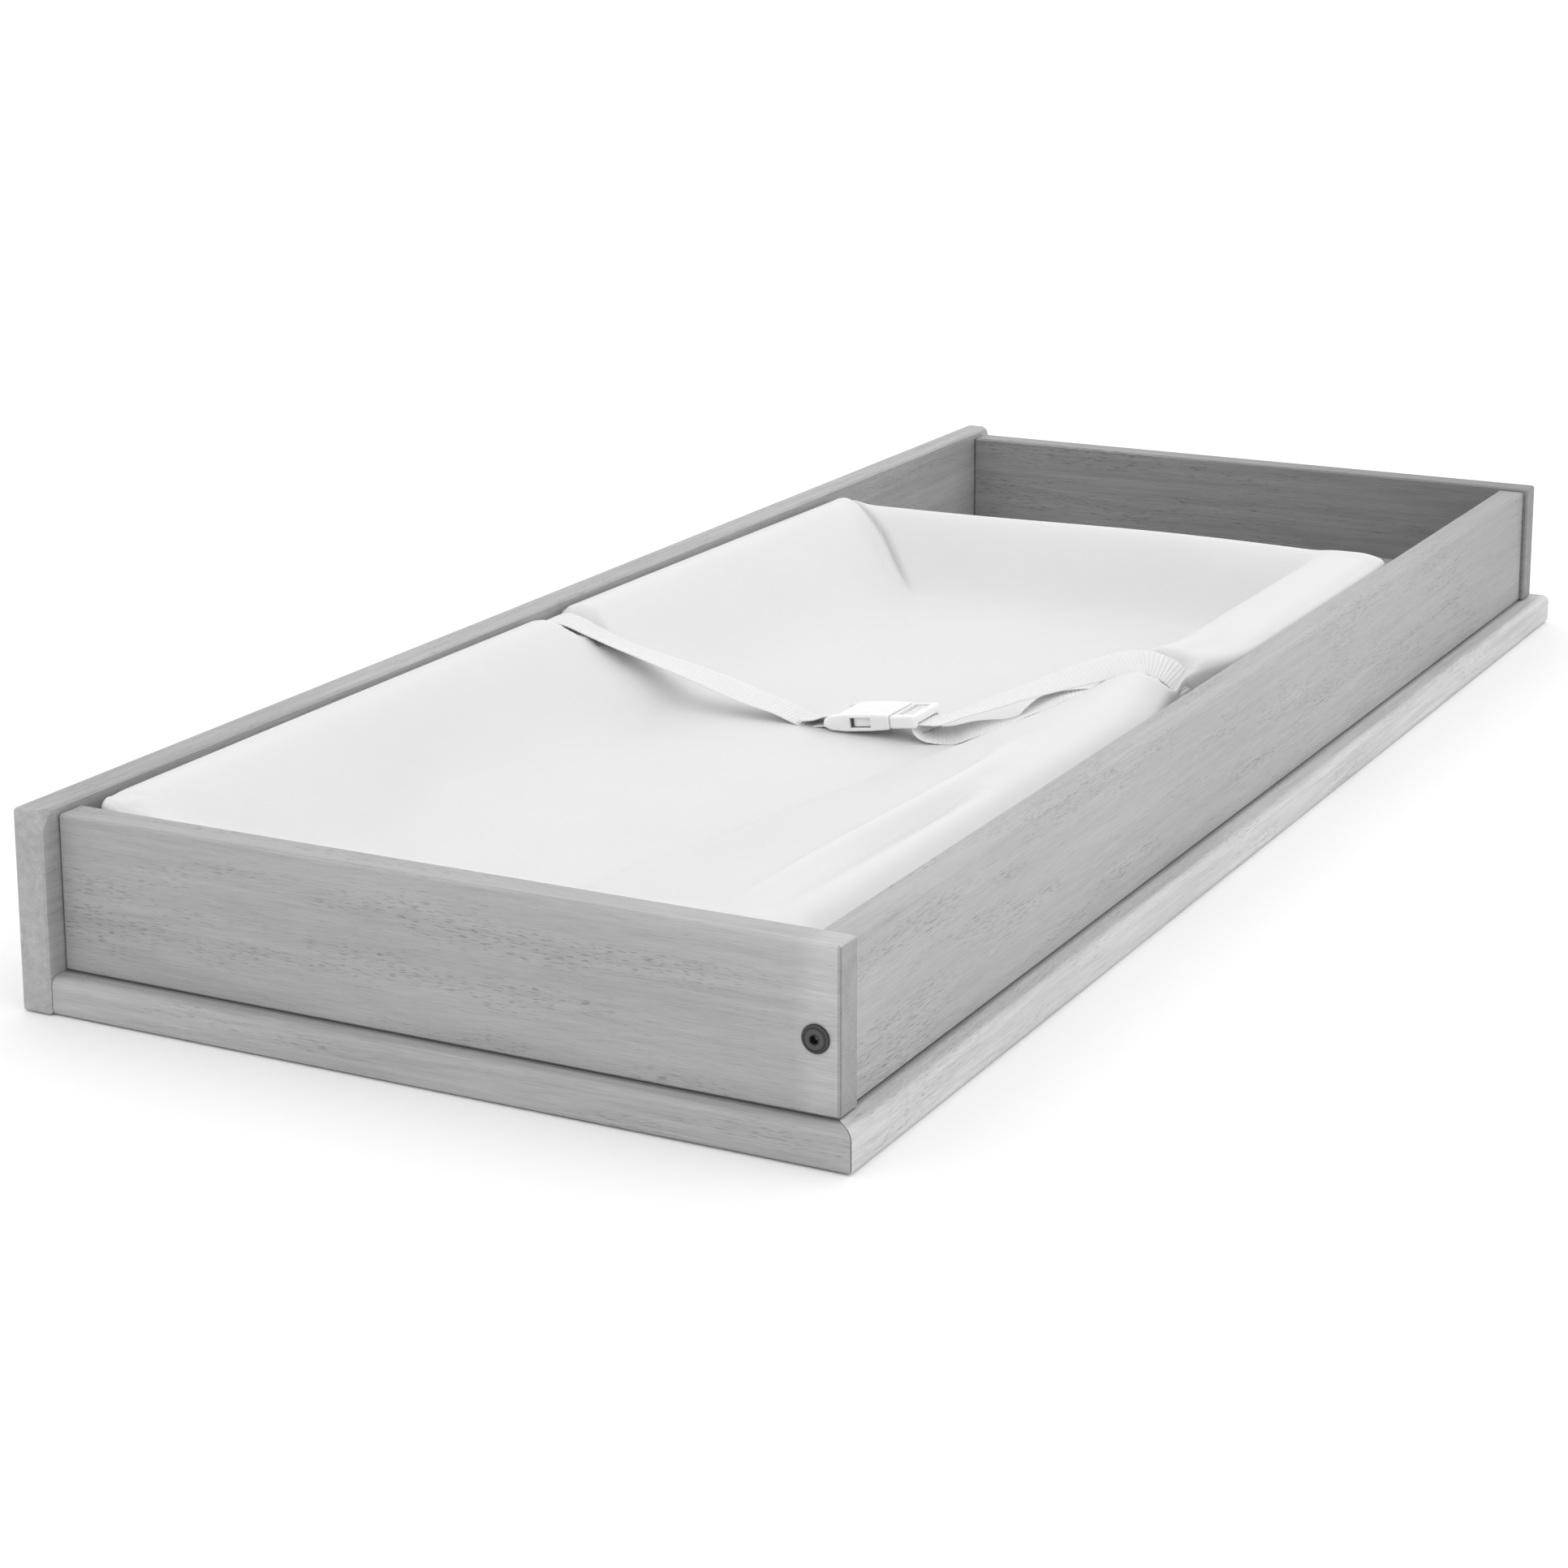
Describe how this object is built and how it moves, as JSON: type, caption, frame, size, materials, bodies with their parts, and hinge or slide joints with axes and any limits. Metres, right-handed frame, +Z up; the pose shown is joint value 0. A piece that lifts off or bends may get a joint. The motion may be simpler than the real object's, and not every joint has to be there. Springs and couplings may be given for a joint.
{
  "type": "changing tray",
  "caption": "Open wooden changing tray for the top of a dresser, with a contoured four-sided vinyl pad, a supplies compartment and a webbing safety belt with a side-release buckle.",
  "frame": {"origin": "under the middle of the tray, on the bottom face of its base moulding", "axes": "+X along the tray towards the supplies compartment, +Y towards the tall back panel, +Z up"},
  "size_m": [1.145, 0.464, 0.106],
  "materials": {
    "grey_stained_wood": "light grey stain over visible horizontal grain, satin lacquer",
    "plywood": "thin board with the same grey stain",
    "bare_wood": "unfinished softwood strips and dowels",
    "black_steel": "dark oxide finish on socket bolts",
    "zinc_steel": "zinc plated screws and inserts",
    "white_vinyl": "satin white wipe-clean vinyl-coated fabric over foam",
    "grip_sheet": "non-slip sheet under the pad",
    "white_webbing": "cross-ribbed woven webbing",
    "white_plastic": "moulded white acetal"
  },
  "bodies": {
    "tray": {"back_bolt_far": "black_steel", "back_bolt_near": "black_steel", "back_cleat": "bare_wood", "back_cleat_screw_1": "zinc_steel", "back_cleat_screw_2": "zinc_steel", "back_cleat_screw_3": "zinc_steel", "back_dowel_far_high": "bare_wood", "back_dowel_far_low": "bare_wood", "back_dowel_near_high": "bare_wood", "back_dowel_near_low": "bare_wood", "back_insert_far": "zinc_steel", "back_insert_near": "zinc_steel", "back_panel": "grey_stained_wood", "far_cleat": "bare_wood", "far_cleat_screw_1": "zinc_steel", "far_cleat_screw_2": "zinc_steel", "far_end_panel": "grey_stained_wood", "far_ledge": "grey_stained_wood", "far_ledge_screw_1": "zinc_steel", "far_ledge_screw_2": "zinc_steel", "floor_crossrail": "bare_wood", "front_bolt_far": "black_steel", "front_bolt_near": "black_steel", "front_cleat": "bare_wood", "front_cleat_screw_1": "zinc_steel", "front_cleat_screw_2": "zinc_steel", "front_cleat_screw_3": "zinc_steel", "front_dowel_far_high": "bare_wood", "front_dowel_far_low": "bare_wood", "front_dowel_near_high": "bare_wood", "front_dowel_near_low": "bare_wood", "front_insert_far": "zinc_steel", "front_insert_near": "zinc_steel", "front_ledge": "grey_stained_wood", "front_ledge_screw_1": "zinc_steel", "front_ledge_screw_2": "zinc_steel", "front_ledge_screw_3": "zinc_steel", "front_panel": "grey_stained_wood", "near_cleat": "bare_wood", "near_cleat_screw_1": "zinc_steel", "near_cleat_screw_2": "zinc_steel", "near_end_panel": "grey_stained_wood", "near_ledge": "grey_stained_wood", "near_ledge_screw_1": "zinc_steel", "near_ledge_screw_2": "zinc_steel", "tray_floor": "plywood"},
    "pad": {"changing_pad": "white_vinyl", "pad_base_sheet": "grip_sheet", "strap_back": "white_webbing", "strap_front": "white_webbing", "buckle_socket": "white_plastic"},
    "plug": {"buckle_plug": "white_plastic"},
    "arm_near": {"buckle_arm_near": "white_plastic"},
    "arm_far": {"buckle_arm_far": "white_plastic"}
  },
  "joints": [
    {"name": "pad_lift", "type": "slide", "parent": "tray", "child": "pad", "axis": [0, 0, 1], "range_m": [0, 0.15]},
    {"name": "buckle_pull", "type": "slide", "parent": "pad", "child": "plug", "axis": [0, -0.9907, 0.1357], "range_m": [0, 0.028], "deforming": ["strap_front"]},
    {"name": "arm_near_squeeze", "type": "hinge", "parent": "plug", "child": "arm_near", "pos_m": [-0.1115, -0.03067, 0.06937], "axis": [0, -0.1357, -0.9907], "range_deg": [0, 8], "stiffness_Nm_per_rad": 0.02},
    {"name": "arm_far_squeeze", "type": "hinge", "parent": "plug", "child": "arm_far", "pos_m": [-0.0885, -0.03067, 0.06937], "axis": [0, 0.1357, 0.9907], "range_deg": [0, 8], "stiffness_Nm_per_rad": 0.02}
  ],
  "couplings": [
    {"joint": "arm_far_squeeze", "follows": "arm_near_squeeze", "ratio": 1}
  ]
}
